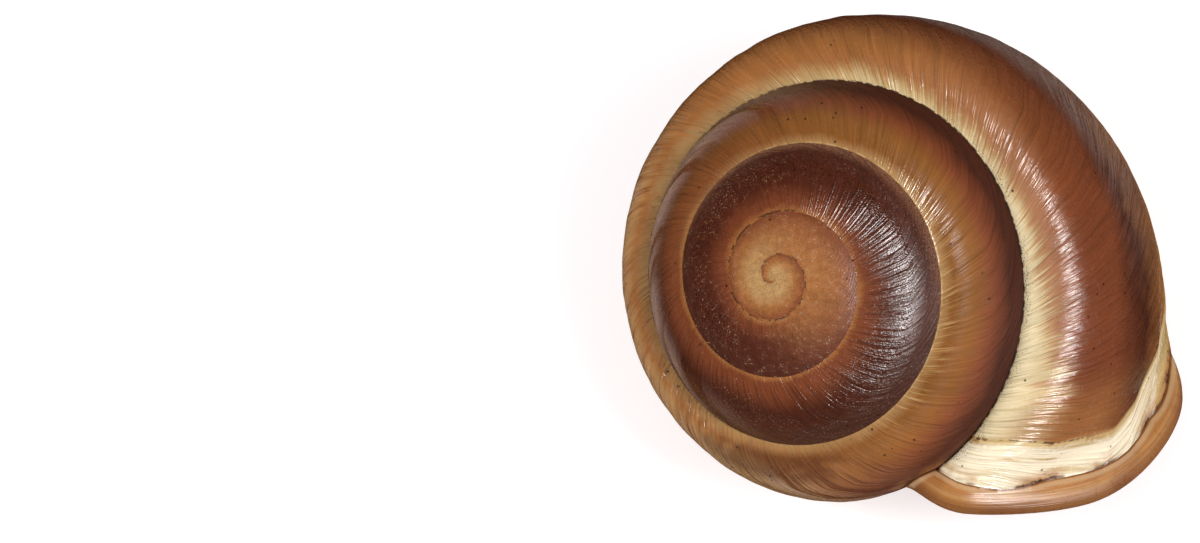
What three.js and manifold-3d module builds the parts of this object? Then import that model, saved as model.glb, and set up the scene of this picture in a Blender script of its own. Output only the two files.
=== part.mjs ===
// A land snail's shell: one hollow coiled piece with a low dome of a spire, a large last whorl and a
// thick lip round the mouth. It lies spire up on the rim of its mouth and the belly of its last whorl.
import * as THREE from 'three';
import { mergeVertices } from 'three/addons/utils/BufferGeometryUtils.js';
import Module from 'manifold-3d';

// Driving dimensions, in millimetres, turns and degrees

// The line along which each whorl meets the next, by turns behind the upper end of the lip. On the
// spire it is the suture, and over the last whorl, below zero, it is the widest line of the coil.
const LINE_TURNS = [-1, -0.75, -0.5, -0.25, 0, 0.5, 1, 1.5, 2, 2.5, 3, 3.5, 4];
const LINE_RADIUS = [26.4, 23.9, 21.9, 18.9, 18.6, 16.2, 13.5, 10.8, 7.8, 5.1, 3.2, 1.7, 0];
const LINE_DROP = [28.3, 23.5, 19.2, 15.7, 11.9, 9.3, 6.5, 3.9, 1.9, 0.8, 0.2, 0.05, 0];

const CROWN_SWELL = 0.24; // how far out the top of a whorl swells, against the width that it shows
const SHOULDER = 0.8; // how much squarer than an ellipse the last whorl's shoulder is
const SHOULDER_TURNS = [0.06, 0.2, 0.3, 0.55]; // where it begins, is full, begins to fade and ends
const SPIRE_FULLNESS = 0.4; // of the whorls on the spire, against the last one's
const FULLNESS_TURNS = [0.8, 1.4]; // where the one gives way to the other
const BASE_DEPTH = 0.36; // of the base under the widest line, against the whorl's radius
const BASE_RADIUS = 0.55; // where the base is lowest, against the whorl's radius
const UMBILICUS_RISE = 0.35; // of the base towards the axis, against its depth
const MOUTH_SWEEP = 0.125; // turns that the edge of the mouth runs back over each third of a section

const WALL = 1.1; // of the tube
const GLAZE = 0.25; // thickness of the lining over the whorl that the tube lies on
const HOLLOW_TURNS = 2.1; // how far back the tube is open

// How many turns the wall runs on into the lip, by the part of the section
const OVERRUN_PARTS = [0, 0.4, 0.9, 1.4, 1.9, 2.15, 2.35, 3];
const OVERRUN_TURNS = [-0.008, 0.008, 0.026, 0.026, 0.042, 0.04, 0, 0];

// The two edges of the lip, seen from above with the apex at the origin. Both go round from the upper
// end of the lip, by its outside and its base, to the axis and back across the whorl before.
const LIP_OUTER = [
  [10.9, -17.3, -7.6], [16, -19.5, -5.6], [27, -18.6, -11.2], [33.3, -13.2, -16.1],
  [33.9, -7, -18.7], [26.5, 3.1, -24.9], [14.5, 7.2, -26.1], [7.7, 8.6, -26.3], [3.6, 4.8, -26],
  [4.1, -4, -21.3], [8.3, -14.4, -15.5], [9, -17, -13],
];
const LIP_INNER = [
  [13.6, -16.1, -8.2], [17.4, -17, -6.8], [26.7, -14.7, -12.8], [31.1, -10.5, -17.2],
  [30.8, -5.8, -19.9], [23, -1.3, -25.6], [15, 1.8, -26.3], [11.1, 2.3, -25.8], [9, 0.8, -24.8],
  [8.8, -4.8, -20], [11.2, -13.6, -14.5], [11.8, -15.9, -12],
];
const LIP_FACING = [-0.1, -0.6, -0.8]; // the way that the mouth opens
const LIP_HALF_THICKNESS = 1.1;

const AXIS_LEAN = 22.5; // of the coil, before the shell rolls on to its mouth
const AXIS_LEAN_BEARING = 178.3; // counter-clockwise from +X
const LIP_BEARING = 291.9; // of the lip's upper end round the axis
const REST_ROLL = 21.1; // about X, to where the shell lies still
const REST_PITCH = 1.2; // about Y, after the roll
const REST_FLAT = 0.3; // depth of the small flats that it lies on

// Fineness of the facets, with a whole number of rows over each third's sweep
const ROWS_PER_TURN = 32;
const STEPS_PER_THIRD = 6;
const HOLLOW_STEPS = 12;
const LIP_ROWS = 56;
const LIP_POINTS = 12;

const APEX_ROW = LINE_TURNS.at(-1) * ROWS_PER_TURN;
const ROWS_TO_NEXT_WHORL = (1 - MOUTH_SWEEP) * ROWS_PER_TURN; // to the row that meets a row's widest line
const HOLLOW_FROM = 0.2; // the parts of a section that the hollow spans
const HOLLOW_TO = 2.7;
const LEAST_GAP = 1.6; // between two whorls, from which the hollow thins away with them
const HOLLOW_OVERRUN = 4; // rows that the hollow runs on through the mouth at the columella

const wasm = await Module();
wasm.setup();

const leanBearing = THREE.MathUtils.degToRad(AXIS_LEAN_BEARING);
const leanHinge = new THREE.Vector3(-Math.sin(leanBearing), Math.cos(leanBearing), 0);
const lean = new THREE.Quaternion().setFromAxisAngle(leanHinge, THREE.MathUtils.degToRad(AXIS_LEAN));

const lineValues = LINE_TURNS.flatMap((turns, i) => [LINE_RADIUS[i], -LINE_DROP[i]]);
const line = new THREE.CubicInterpolant(LINE_TURNS, lineValues, 2);
const overrun = new THREE.LinearInterpolant(OVERRUN_PARTS, OVERRUN_TURNS, 1);

// The meeting line as a radius (x) and a height (y)
function linePoint(turns) {
  const [radius, height] = line.evaluate(turns);
  return new THREE.Vector2(radius, height);
}

// A point of a whorl's section as a radius and a height. Part is 0 at the suture, 1 at the widest
// line, 2 at the lowest ring of the base and 3 at the axis.
function sectionPoint(turns, part) {
  const suture = linePoint(turns);
  const widest = linePoint(turns - 1);
  const depth = BASE_DEPTH * widest.x;
  const baseRadius = BASE_RADIUS * widest.x;
  if (part < 1) {
    const crownRadius = THREE.MathUtils.lerp(suture.x, widest.x, CROWN_SWELL);
    const start = Math.acos(-CROWN_SWELL / (1 - CROWN_SWELL));
    const angle = start * (1 - part);
    const [from, full, fade, end] = SHOULDER_TURNS;
    const growing = THREE.MathUtils.smoothstep(turns, from, full);
    const power = 2 + SHOULDER * growing * (1 - THREE.MathUtils.smoothstep(turns, fade, end));
    const arch = (bend) => (1 - Math.abs(Math.cos(bend)) ** power) ** (1 / power);
    const crown = new THREE.Vector2(
      crownRadius + (widest.x - crownRadius) * Math.cos(angle),
      widest.y + (suture.y - widest.y) * arch(angle) / arch(start),
    );
    const spire = THREE.MathUtils.smoothstep(turns, ...FULLNESS_TURNS);
    return crown.lerp(suture.lerp(widest, part), spire * (1 - SPIRE_FULLNESS));
  }
  if (part < 2) {
    const angle = (part - 1) * Math.PI / 2;
    return new THREE.Vector2(
      baseRadius + (widest.x - baseRadius) * Math.cos(angle),
      widest.y - depth * Math.sin(angle),
    );
  }
  const angle = (part - 2) * Math.PI / 2;
  return new THREE.Vector2(
    baseRadius * (1 - Math.sin(angle)),
    widest.y - depth + UMBILICUS_RISE * depth * (1 - Math.cos(angle)),
  );
}

// Turns a point of a section round the axis and leans it with the coil
function place(turns, point) {
  const bearing = THREE.MathUtils.degToRad(LIP_BEARING) + turns * 2 * Math.PI;
  const placed = new THREE.Vector3(point.x * Math.cos(bearing), point.x * Math.sin(bearing), point.y);
  return placed.applyQuaternion(lean);
}

// One row across the hollow: inside the outer wall, then back along the whorl before
function hollowRow(turns) {
  const outside = [];
  const inside = [];
  for (let i = 0; i <= HOLLOW_STEPS; i += 1) {
    const part = THREE.MathUtils.lerp(HOLLOW_FROM, HOLLOW_TO, i / HOLLOW_STEPS);
    const share = turns < 0 ? part / HOLLOW_TO : 1;
    const at = turns * share + MOUTH_SWEEP * part;
    const skin = sectionPoint(at, part);
    const before = sectionPoint(at + 1, THREE.MathUtils.mapLinear(part, 0, 3, 1, 3));
    const gap = Math.max(skin.distanceTo(before), LEAST_GAP);
    outside.push(place(at, skin.clone().lerp(before, WALL / gap)));
    inside.unshift(place(at, before.clone().lerp(skin, GLAZE / gap)));
  }
  return [...outside, ...inside];
}

function solidOf(points, faces) {
  const vertProperties = new Float32Array(points.flatMap((point) => point.toArray()));
  const triVerts = new Uint32Array(faces.flat());
  return new wasm.Manifold(new wasm.Mesh({ numProp: 3, vertProperties, triVerts }));
}

function solidOfGeometry(geometry) {
  geometry.deleteAttribute('normal');
  geometry.deleteAttribute('uv');
  const merged = mergeVertices(geometry);
  const vertProperties = new Float32Array(merged.attributes.position.array);
  const triVerts = new Uint32Array(merged.index.array);
  return new wasm.Manifold(new wasm.Mesh({ numProp: 3, vertProperties, triVerts }));
}

function geometryOf(solid) {
  const mesh = solid.getMesh();
  const geometry = new THREE.BufferGeometry();
  geometry.setAttribute('position', new THREE.BufferAttribute(mesh.vertProperties, 3));
  geometry.setIndex(new THREE.BufferAttribute(mesh.triVerts, 1));
  return geometry;
}

// Faces between two lines of corners that run side by side
function strip(one, other) {
  const faces = [];
  const steps = Math.min(one.length, other.length) - 1;
  for (let i = 0; i < steps; i += 1) {
    faces.push([one[i], other[i + 1], one[i + 1]], [one[i], other[i], other[i + 1]]);
  }
  return faces.filter((face) => new Set(face).size === 3);
}

function fan(middle, rim) {
  const faces = [];
  for (let i = 0; i + 1 < rim.length; i += 1) faces.push([middle, rim[i + 1], rim[i]]);
  return faces;
}

// The coil filled solid. Its rows run from the mouth back to the apex, and each goes down the skin from
// the suture: to the suture of the next whorl on the spire, and to the axis on the last whorl.
function coil() {
  const points = [];
  const rows = [];
  for (let row = 0; row <= APEX_ROW; row += 1) {
    const steps = (row <= ROWS_TO_NEXT_WHORL ? 3 : 1) * STEPS_PER_THIRD;
    const corners = [];
    for (let step = 0; step <= steps; step += 1) {
      if (row >= ROWS_TO_NEXT_WHORL && step === STEPS_PER_THIRD) {
        corners.push(rows[row - ROWS_TO_NEXT_WHORL][0]);
      } else {
        const part = step / STEPS_PER_THIRD;
        const runsOn = row === 0 ? overrun.evaluate(part)[0] : 0;
        const turns = row / ROWS_PER_TURN + MOUTH_SWEEP * part - runsOn;
        corners.push(points.length);
        points.push(place(turns, sectionPoint(turns, part)));
      }
    }
    rows.push(corners);
  }
  const skin = rows.slice(1).flatMap((older, row) => strip(older, rows[row]));

  const [apex, ...firstEdge] = rows[APEX_ROW];
  const firstSuture = rows.slice(APEX_ROW - ROWS_TO_NEXT_WHORL, APEX_ROW).map((row) => row[0]);
  const tip = fan(apex, [...firstEdge.slice(0, -1), ...firstSuture].reverse());

  const edge = rows[0];
  const parietal = rows[ROWS_TO_NEXT_WHORL].slice(STEPS_PER_THIRD);
  const beside = edge.map((_, i) => parietal[Math.round(i * (parietal.length - 1) / (edge.length - 1))]);
  const axis = rows.slice(0, ROWS_TO_NEXT_WHORL + 1).map((row) => row.at(-1));
  const mouth = strip(edge.slice(0, -1), beside.slice(0, -1));
  const columella = fan(edge.at(-2), [...axis, beside.at(-2)]);
  return solidOf(points, [...skin, ...tip, ...mouth, ...columella]);
}

// A closed solid through rings of points. The rings close on themselves, or end in a face each, where
// the second half of a ring runs back beside its first half.
function loft(rings, closesOnItself) {
  const count = rings[0].length;
  const corners = rings.map((ring, r) => ring.map((_, i) => r * count + i));
  const loops = corners.map((ring) => [...ring, ring[0]]);
  const faces = loops.slice(1).flatMap((loop, r) => strip(loops[r], loop));
  if (closesOnItself) {
    faces.push(...strip(loops.at(-1), loops[0]));
  } else {
    const [first, last] = [corners[0], corners.at(-1)];
    faces.push(...strip(first.slice(count / 2).reverse(), first.slice(0, count / 2)));
    faces.push(...strip(last.slice(0, count / 2), last.slice(count / 2).reverse()));
  }
  return solidOf(rings.flat(), faces);
}

// The hollow of the tube, from its closed end out through the mouth
function hollow() {
  const rings = [];
  for (let row = Math.round(HOLLOW_TURNS * ROWS_PER_TURN); row >= -HOLLOW_OVERRUN; row -= 1) {
    rings.push(hollowRow(row / ROWS_PER_TURN));
  }
  return loft(rings, false);
}

// The lip: a rounded band between its two edges
function lip() {
  const closedCurve = (points) => {
    const places = points.map((point) => new THREE.Vector3(...point));
    return new THREE.CatmullRomCurve3(places, true, 'catmullrom');
  };
  const outerEdge = closedCurve(LIP_OUTER);
  const innerEdge = closedCurve(LIP_INNER);
  const facing = new THREE.Vector3(...LIP_FACING).normalize();
  const rows = Array.from({ length: LIP_ROWS }, (_, r) => {
    const outer = outerEdge.getPoint(r / LIP_ROWS);
    const inner = innerEdge.getPoint(r / LIP_ROWS);
    const middle = outer.clone().lerp(inner, 0.5);
    const halfWidth = inner.clone().sub(middle);
    return Array.from({ length: LIP_POINTS }, (_, i) => {
      const angle = i / LIP_POINTS * 2 * Math.PI;
      const point = middle.clone().addScaledVector(halfWidth, Math.cos(angle));
      return point.addScaledVector(facing, LIP_HALF_THICKNESS * Math.sin(angle));
    });
  });
  return loft(rows, true);
}

// Lays the shell down, takes the flats off its lowest places and stands its origin under its middle
function layDown(shell) {
  const geometry = geometryOf(shell);
  geometry.rotateX(THREE.MathUtils.degToRad(REST_ROLL));
  geometry.rotateY(THREE.MathUtils.degToRad(REST_PITCH));
  geometry.computeBoundingBox();
  const middle = geometry.boundingBox.getCenter(new THREE.Vector3());
  const extent = geometry.boundingBox.getSize(new THREE.Vector3());
  geometry.translate(-middle.x, -middle.y, -geometry.boundingBox.min.z - REST_FLAT);
  const ground = new THREE.BoxGeometry(2 * extent.x, 2 * extent.y, extent.z).translate(0, 0, -extent.z / 2);
  const laid = geometryOf(solidOfGeometry(geometry).subtract(solidOfGeometry(ground)));
  laid.computeVertexNormals();
  return laid;
}

const shellMaterial = new THREE.MeshStandardMaterial({ color: 0x8a5330, roughness: 0.35, metalness: 0 });
const shell = new THREE.Mesh(layDown(coil().subtract(hollow()).add(lip())), shellMaterial);
shell.name = 'shell';

const snailShell = new THREE.Group();
snailShell.add(shell);

export default snailShell;
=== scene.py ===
"""A land snail's shell, lying on its mouth on a pale floor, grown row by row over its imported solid."""

import math
from operator import itemgetter

import bpy
import numpy as np
from bpy.props import FloatProperty, FloatVectorProperty, IntProperty, PointerProperty
from mathutils import Matrix, Vector
from mathutils.kdtree import KDTree


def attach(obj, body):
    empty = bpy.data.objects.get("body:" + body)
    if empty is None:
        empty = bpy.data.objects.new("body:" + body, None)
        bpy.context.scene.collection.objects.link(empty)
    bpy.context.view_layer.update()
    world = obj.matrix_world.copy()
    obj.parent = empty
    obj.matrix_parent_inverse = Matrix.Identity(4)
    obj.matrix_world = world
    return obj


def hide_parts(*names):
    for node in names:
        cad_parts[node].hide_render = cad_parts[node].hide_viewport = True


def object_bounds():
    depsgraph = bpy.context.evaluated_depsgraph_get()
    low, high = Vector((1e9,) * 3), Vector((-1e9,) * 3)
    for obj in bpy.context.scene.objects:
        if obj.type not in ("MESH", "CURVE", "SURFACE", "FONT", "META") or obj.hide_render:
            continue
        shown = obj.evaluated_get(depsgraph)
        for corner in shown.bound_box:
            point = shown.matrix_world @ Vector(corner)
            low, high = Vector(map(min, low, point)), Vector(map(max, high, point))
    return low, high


bl_info = {
    "name": "Land snail shell",
    "version": (1, 0, 0),
    "blender": (4, 5, 0),
    "location": "3D View > Sidebar > Shell",
    "description": "Grows a coiled snail shell with its lip and sets it in soft light",
    "category": "Add Mesh",
}

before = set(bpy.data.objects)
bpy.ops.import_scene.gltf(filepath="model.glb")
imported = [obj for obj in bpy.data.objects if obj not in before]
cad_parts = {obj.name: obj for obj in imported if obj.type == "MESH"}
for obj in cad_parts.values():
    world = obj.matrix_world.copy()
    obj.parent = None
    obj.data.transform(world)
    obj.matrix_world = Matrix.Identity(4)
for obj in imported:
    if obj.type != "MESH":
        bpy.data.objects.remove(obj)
CAD_LOW, CAD_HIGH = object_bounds()
MM = 0.001

# The line where two whorls meet, by turns behind the upper end of the lip, in millimetres from the apex.
LINE_TURNS = np.array([-1, -0.75, -0.5, -0.25, 0, 0.5, 1, 1.5, 2, 2.5, 3, 3.5, 4])
LINE_RADIUS = np.array([26.4, 23.9, 21.9, 18.9, 18.6, 16.2, 13.5, 10.8, 7.8, 5.1, 3.2, 1.7, 0])
LINE_DROP = np.array([28.3, 23.5, 19.2, 15.7, 11.9, 9.3, 6.5, 3.9, 1.9, 0.8, 0.2, 0.05, 0])
WHORL_TURNS = 4

# A section of the tube runs through parts: 0 suture, 1 widest line, 2 lowest ring of the base, 3 axis.
AXIS_PART = 3
CROWN_SWELL = 0.24
SHOULDER = 0.8
SHOULDER_TURNS = (0.06, 0.2, 0.3, 0.55)
SPIRE_FULLNESS = 0.4
FULLNESS_TURNS = (0.8, 1.4)
BASE_DEPTH = 0.36
BASE_RADIUS = 0.55
UMBILICUS_RISE = 0.35

# Growth lines lean back from the suture, by turns at each part. The mouth's edge lies a little behind them.
LINE_LEAN_PARTS = (0, 1, 3)
LINE_LEAN_TURNS = (0, 0.075, 0.325)
EDGE_PARTS = (0, 0.4, 0.9, 1.4, 1.9, 2.15, 2.35, 3)
EDGE_TURNS = (0, 0.012, 0.019, 0.024, 0.008, 0.01, 0.05, 0.05)
EDGE_FADE = 0.2

# Fine streaks sweep back more on the flank. Near the mouth they follow its old edge, by turns from the lip.
STREAK_PARTS = (0, 0.6, 0.8, 1, 1.4, 3)
STREAK_TURNS = (0, 0.0275, 0.05, 0.1, 0.15, 0.36)
OLD_EDGE_PARTS = (0, 0.3, 0.6, 0.84, 0.93, 1.02, 3)
OLD_EDGE_TURNS = (0.064, 0.052, 0.035, 0.027, 0.036, 0.07, 0.07)
OLD_EDGE_FADE = (0.06, 0.3)

# Growth ridges: how far they ripple, the share and spacing of each set in millimetres, and their size by age.
RIPPLE_REACH = 0.25
RIPPLE_SPACING = 2.5
RIDGE_SETS = ((0.5, 0.7), (0.8, 1.6), (1, 4.5))
RIDGE_AGES = (0, 1, 2, 3, 4)
RIDGE_SIZES = (1, 0.7, 0.5, 0.4, 0.3)

# The groove and the flare behind the lip, and a healed break on the last whorl, by age and part.
GROOVE_AGE = 0.016
GROOVE_WIDTH = 0.014
FLARE_AGES = (0.005, 0.045)
FLARE_PARTS = (0.62, 0.95, 1.2, 1.8)
BREAK_DEPTH = 0.12
BREAK_AGE = 0.256
BREAK_WIDTH = 0.0022
BREAK_PARTS = (0.03, 0.1, 0.7, 0.9)

# The relief dies away at the suture, at the seam with the next whorl, under the base and at the apex.
SUTURE_FADE = (0, 0.07)
SEAM_FADE = (0.93, 1)
SEAM_LEAD = 0.02
BASE_FADE = (2.2, 2.8)
APEX_FADE = (3.6, 4.2)

# The hollow of the tube, with its length per turn and its girth in millimetres.
HOLLOW_LEAN = 0.125
HOLLOW_TURNS = 2.1
HOLLOW_PARTS = (0.2, 2.7)
HOLLOW_OVERRUN = 0.15
HOLLOW_RUN = 90
HOLLOW_GIRTH = 30
BACK_WALL = 0.08
LEAST_GAP = 1.6

# The lip's outer and inner edges, through stations round the mouth from its upper end.
LIP_OUTER = np.array([
    (10.9, -17.3, -7.6), (16, -19.5, -5.6), (27, -18.6, -11.2), (33.3, -13.2, -16.1),
    (33.5, -7, -18.7), (26.5, 3.1, -24.9), (14.5, 7.2, -26.1), (7.7, 8.6, -26.3),
    (3.6, 4.8, -26), (4.1, -4, -21.3), (8.3, -14.4, -15.5), (9, -17, -13),
])
LIP_INNER = np.array([
    (13.6, -16.1, -8.2), (17.4, -17, -6.8), (26.7, -14.7, -12.8), (31.1, -10.5, -17.2),
    (30.8, -5.8, -19.9), (23, -1.3, -25.6), (15, 1.8, -26.3), (11.1, 2.3, -25.8),
    (9, 0.8, -24.8), (8.8, -4.8, -20), (11.2, -13.6, -14.5), (11.8, -15.9, -12),
])
LIP_FACING = np.array([-0.1, -0.6, -0.8])
LIP_HALF_BREADTH = 2

# How the axis leans, and how the shell is rolled to lie on its mouth.
AXIS_LEAN = math.radians(22.5)
AXIS_LEAN_BEARING = math.radians(178.3)
LIP_BEARING = math.radians(291.9)
REST_ROLL = math.radians(21.1)
REST_PITCH = math.radians(1.2)
REST_TURN = np.array(Matrix.Rotation(REST_PITCH, 3, "Y") @ Matrix.Rotation(REST_ROLL, 3, "X"))

# Rows, steps and points of the meshes, and the angle from which an edge shows as sharp.
ROWS_PER_TURN = 440
SEAM_ROWS = 407
CROWN_STEPS = 24
BASE_STEPS = 44
FAN_COLUMN = CROWN_STEPS + BASE_STEPS // 2
HOLLOW_ROWS_PER_TURN = 110
HOLLOW_STEPS = 22
LIP_ROWS = 320
LIP_POINTS = 20
SHARP_ANGLE = math.radians(50)
TINY = 1e-9

# Patterns of the finishes: sizes in millimetres along and across the growth or all round, and their detail.
# Threads and grit are drawn coarser than the real ones, which are too fine to show.
SKIN_PATTERNS = (
    ("thread", (0.24, 4.5, 1), 2), ("rib", (0.42, 16, 1), 1), ("line", (0.9, 10, 1), 2),
    ("band", (4, 18, 1), 2), ("dash", (0.4, 1.6, 1), 1), ("cloud", 5, 3), ("speck", 0.6, 1),
    ("grit", 0.12, 1), ("dot", 1.4, None),
)
CALLUS_PATTERNS = (
    ("coat", (16, 0.5, 0.5), 2), ("streak", (7, 0.16, 0.16), 1), ("cloud", 4, 2), ("speck", 0.5, 1),
    ("dot", 2, None),
)
LINING_PATTERNS = (
    ("line", (1.2, 12, 1), 2), ("band", (6, 20, 1), 2), ("cloud", 6, 3), ("speck", 0.6, 1),
    ("dot", 1.5, None),
)
SKIN_NAME = "periostracum_over_aragonite"
CALLUS_NAME = "porcelain_callus"
LINING_NAME = "glazed_aragonite"

# Height of bump in metres, refraction of horny skin, porcelain and varnish, and the shine of the callus.
SKIN_BUMP = 0.00014
FINE_BUMP = 0.00006
SKIN_IOR = 1.53
PORCELAIN_IOR = 1.56
VARNISH_IOR = 1.5
VARNISH_ROUGHNESS = 0.1
CALLUS_SHINE = 0.3

# How far the cream band reaches from the suture, in parts, by age as a share of all the turns.
CREAM_REACH = (
    (0, 0.5), (0.016, 0.42), (0.028, 0.27), (0.04, 0.17), (0.06, 0.1), (0.085, 0.03), (0.13, 0.01), (0.25, 0),
)

# The photograph's frame, in pixels and in millimetres of the plane that the shell lies in.
FRAME_PIXELS = (1200, 543)
MM_PER_PIXEL = 0.084034
APEX_PIXEL = (777.4, 277.3)
SHELL_PIXEL = (901, 263.5)
SHELL_DEPTH = -13

# The stage, in metres, and the camera's sensor in millimetres.
FLOOR_REACH = 2
CARD_SHADE = 0.5
CARD_ROUGHNESS = 0.9
LAMP_DISTANCE = 0.6
LEFT_SHARE = 0.8
SENSOR_WIDTH = 36
NEAREST = 0.01


def linear(hex_colour):
    """Turns an sRGB hex colour into the linear colour that Blender works in."""
    channels = [int(hex_colour[i:i + 2], 16) / 255 for i in (0, 2, 4)]
    return tuple(c / 12.92 if c <= 0.04045 else ((c + 0.055) / 1.055) ** 2.4 for c in channels) + (1,)


def colour(name, hex_colour, description):
    """A colour that the user can change."""
    return FloatVectorProperty(
        name=name, description=description, subtype="COLOR", size=4, min=0, max=1, default=linear(hex_colour)
    )


class ShellSettings(bpy.types.PropertyGroup):
    """Sizes and colours of the shell."""
    wall: FloatProperty(
        name="Wall", description="Thickness of the tube's wall, in millimetres", default=1.1, min=0.6, max=1.6
    )
    lip: FloatProperty(
        name="Lip", description="Half thickness of the lip, in millimetres", default=1.1, min=0.5, max=1.5
    )
    ridge: FloatProperty(
        name="Growth ridges", description="Height of the growth ridges, in millimetres",
        default=0.05, min=0, max=0.2
    )
    groove: FloatProperty(
        name="Lip groove", description="Depth of the groove behind the lip, in millimetres",
        default=0.35, min=0, max=0.6
    )
    flare: FloatProperty(
        name="Flare", description="How far the last whorl widens behind the lip, in millimetres",
        default=1.5, min=0, max=2
    )
    seed: IntProperty(name="Seed", description="Chooses another set of growth ridges", default=7, min=0)
    cream: colour("Cream", "f8e5ba", "Pale band below the last suture, and worn places")
    straw: colour("Straw", "d6b67c", "Yellowish edge of the cream band, and the middle of the base")
    tan: colour("Tan", "b48a58", "Apex, and the last whorl's far side by the suture")
    rosy: colour("Rosy tan", "ac7656", "Last whorl beside the cream band")
    sienna: colour("Sienna", "a06636", "Warm brown of the last whorl's far side and of the spire")
    ochre: colour("Ochre", "8c5828", "Middle of the whorl before the last")
    chestnut: colour("Chestnut", "7d4125", "Main brown of the last whorl")
    umber: colour("Umber", "4c2416", "Dark edge of the whorls")
    aubergine: colour("Aubergine", "5a2a1b", "Dark ring round the spire")
    night: colour("Grains", "1e100a", "Dark grains in the sutures")
    # A greyish painted sheen: it stands for reflections on the flanks and for glints among the spire's grains.
    painted_sheen: colour("Bloom", "a2877c", "Greyish bloom where the horny skin is worn")
    gold: colour("Gold", "c0903f", "Base of the shell")
    lip_colour: colour("Lip", "b87c42", "Orange brown of the lip")
    fawn: colour("Fawn", "cdaa88", "Worn flank of the last whorl's far side")
    ivory: colour("Ivory", "fdeed0", "Newest growth, between the old edge of the mouth and the lip")
    lining: colour("Lining", "8f6d34", "Golden olive inside the mouth")


class StageSettings(bpy.types.PropertyGroup):
    """Floor, light and lens."""
    floor: colour("Floor", "fcf8f9", "Pale floor")
    glow: FloatProperty(
        name="Floor glow", description="Light from under the floor, as of a light table", default=0.68, min=0
    )
    key: FloatProperty(
        name="Key light", description="Power of the main lamp", default=2.4, min=0, subtype="POWER"
    )
    fill: FloatProperty(
        name="Fill light", description="Power of the broad lamp", default=0.65, min=0, subtype="POWER"
    )
    shine: FloatProperty(
        name="Shine", description="Power of the lamp that shows in the gloss",
        default=8, min=0, subtype="POWER"
    )
    sky: FloatProperty(name="Sky", description="Strength of the even light all round", default=0.2, min=0)
    lens: FloatProperty(
        name="Lens", description="Focal length", default=200, min=50, max=400, subtype="DISTANCE_CAMERA"
    )


def smooth(low, high, value):
    """Rises smoothly from 0 at low to 1 at high."""
    x = np.clip((value - low) / (high - low), 0, 1)
    return x * x * (3 - 2 * x)


def hill(value, start, top, top_end, end):
    """Rises smoothly from start to top, and falls again from the top's end to the end."""
    return smooth(start, top, value) * (1 - smooth(top_end, end, value))


def dip(value, middle, width):
    """A rounded dip of depth 1."""
    return np.exp(-(((value - middle) / width) ** 2))


def blend(a, b, share_of_b):
    """The value that lies a share of the way from a to b."""
    return a + (b - a) * share_of_b


def wander(distance, spacing, seed):
    """Seeded waves along a distance, from -1 to 1, with a new height after each spacing."""
    at = (distance - distance.min()) / spacing
    step = at.astype(int)
    heights = np.random.default_rng(seed).uniform(-1, 1, step.max() + 2)
    return blend(heights[step], heights[step + 1], smooth(0, 1, at - step))


def curve(x, start, end, start_slope, end_slope):
    """A smooth step from start to end that leaves and arrives with the given slopes."""
    return (
        (1 + 2 * x) * (1 - x) ** 2 * start + x * (1 - x) ** 2 * start_slope
        + x * x * (3 - 2 * x) * end + x * x * (x - 1) * end_slope
    )


def along_line(turns, values):
    """A smooth curve through the meeting line's values."""
    slopes = np.diff(values) / np.diff(LINE_TURNS)
    slopes = np.concatenate([slopes[:1], (slopes[1:] + slopes[:-1]) / 2, slopes[-1:]])
    turns = np.clip(turns, LINE_TURNS[0], LINE_TURNS[-1])
    i = np.clip(np.searchsorted(LINE_TURNS, turns, side="right") - 1, 0, len(LINE_TURNS) - 2)
    step = LINE_TURNS[i + 1] - LINE_TURNS[i]
    x = (turns - LINE_TURNS[i]) / step
    return curve(x, values[i], values[i + 1], step * slopes[i], step * slopes[i + 1])


def meeting_line(turns):
    """Radius and height of the line where two whorls meet."""
    return along_line(turns, LINE_RADIUS), -along_line(turns, LINE_DROP)


def section(turns, part):
    """Radius and height of a point of the tube's section."""
    suture, suture_height = meeting_line(turns)
    widest, widest_height = meeting_line(turns - 1)
    start = math.acos(-CROWN_SWELL / (1 - CROWN_SWELL))
    angle = start * (1 - part)
    inner = blend(suture, widest, CROWN_SWELL)
    crown = inner + (widest - inner) * np.cos(angle)
    square = 2 + SHOULDER * hill(turns, *SHOULDER_TURNS)
    arch = (1 - np.minimum(np.abs(np.cos(angle)), 1) ** square) ** (1 / square)
    foot = (1 - abs(math.cos(start)) ** square) ** (1 / square)
    crown_height = widest_height + (suture_height - widest_height) / foot * arch
    flat = smooth(*FULLNESS_TURNS, turns) * (1 - SPIRE_FULLNESS)
    crown = blend(crown, blend(suture, widest, part), flat)
    crown_height = blend(crown_height, blend(suture_height, widest_height, part), flat)
    depth = BASE_DEPTH * widest
    ring = BASE_RADIUS * widest
    side = (part - 1) * math.pi / 2
    under = (part - 2) * math.pi / 2
    flank = ring + (widest - ring) * np.cos(side)
    flank_height = widest_height - depth * np.sin(side)
    base = ring * (1 - np.sin(under))
    base_height = widest_height - depth + UMBILICUS_RISE * depth * (1 - np.cos(under))
    radius = np.where(part < 1, crown, np.where(part < 2, flank, base))
    height = np.where(part < 1, crown_height, np.where(part < 2, flank_height, base_height))
    return radius, height


def place(turns, radius, height):
    """Carries points of sections round the leaning axis."""
    bearing = LIP_BEARING + 2 * math.pi * turns
    points = np.stack([radius * np.cos(bearing), radius * np.sin(bearing), height], axis=-1)
    hinge = Vector((-math.sin(AXIS_LEAN_BEARING), math.cos(AXIS_LEAN_BEARING), 0))
    return points @ np.array(Matrix.Rotation(AXIS_LEAN, 3, hinge)).T


def growth_turns(age, part):
    """Turns of a point that lies on the growth line of an age."""
    edge = np.interp(part, EDGE_PARTS, EDGE_TURNS) * (1 - smooth(0, EDGE_FADE, age))
    return age + np.interp(part, LINE_LEAN_PARTS, LINE_LEAN_TURNS) + edge


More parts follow.
